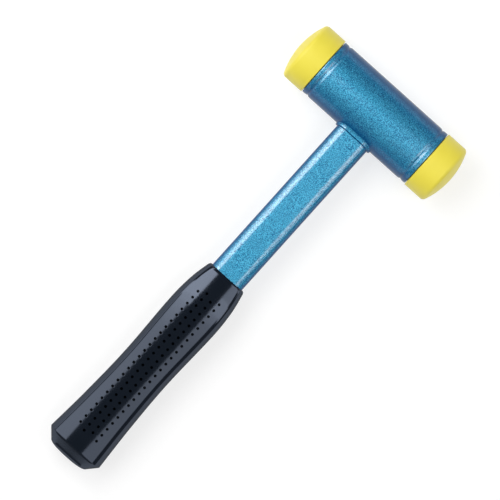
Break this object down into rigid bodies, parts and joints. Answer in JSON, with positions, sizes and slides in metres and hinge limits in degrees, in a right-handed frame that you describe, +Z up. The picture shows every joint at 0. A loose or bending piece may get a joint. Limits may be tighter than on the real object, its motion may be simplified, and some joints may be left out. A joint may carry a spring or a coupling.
{
  "type": "dead blow hammer",
  "caption": "Dead blow hammer with a blue tubular head, yellow domed striking faces, loose shot inside, and a flat-oval handle in a dimpled black grip.",
  "frame": {"origin": "on the surface the hammer lies on, under the middle of its bounding box", "axes": "+X along the head, +Y along the handle towards the head, +Z up from the surface; the handle slopes about 1.3 degrees, because the head is thicker than the grip"},
  "size_m": [0.123, 0.3026, 0.0408],
  "materials": {
    "blue_paint": "metallic blue paint with a fine sparkle, semi-gloss",
    "black_rubber": "black rubber, satin",
    "yellow_face": "yellow polyurethane, satin",
    "bare_steel": "bare steel",
    "plug_plastic": "black plastic"
  },
  "bodies": {
    "hammer": {"head_tube": "blue_paint", "neck_collar": "blue_paint", "handle_tube": "blue_paint", "grip": "black_rubber", "striking_face_left": "yellow_face", "striking_face_right": "yellow_face", "handle_plug": "plug_plastic", "impact_disc_left": "bare_steel", "impact_disc_right": "bare_steel"},
    "shot": {"shot_01": "bare_steel", "shot_02": "bare_steel", "shot_03": "bare_steel", "shot_04": "bare_steel", "shot_05": "bare_steel", "shot_06": "bare_steel", "shot_07": "bare_steel", "shot_08": "bare_steel", "shot_09": "bare_steel", "shot_10": "bare_steel", "shot_11": "bare_steel", "shot_12": "bare_steel", "shot_13": "bare_steel", "shot_14": "bare_steel", "shot_15": "bare_steel", "shot_16": "bare_steel", "shot_17": "bare_steel", "shot_18": "bare_steel", "shot_19": "bare_steel", "shot_20": "bare_steel", "shot_21": "bare_steel", "shot_22": "bare_steel", "shot_23": "bare_steel", "shot_24": "bare_steel", "shot_25": "bare_steel", "shot_26": "bare_steel", "shot_27": "bare_steel", "shot_28": "bare_steel", "shot_29": "bare_steel", "shot_30": "bare_steel", "shot_31": "bare_steel", "shot_32": "bare_steel", "shot_33": "bare_steel", "shot_34": "bare_steel", "shot_35": "bare_steel"}
  },
  "joints": [
    {"name": "shot_slide", "type": "slide", "parent": "hammer", "child": "shot", "axis": [1, 0, 0], "range_m": [-0.006, 0.006]}
  ]
}
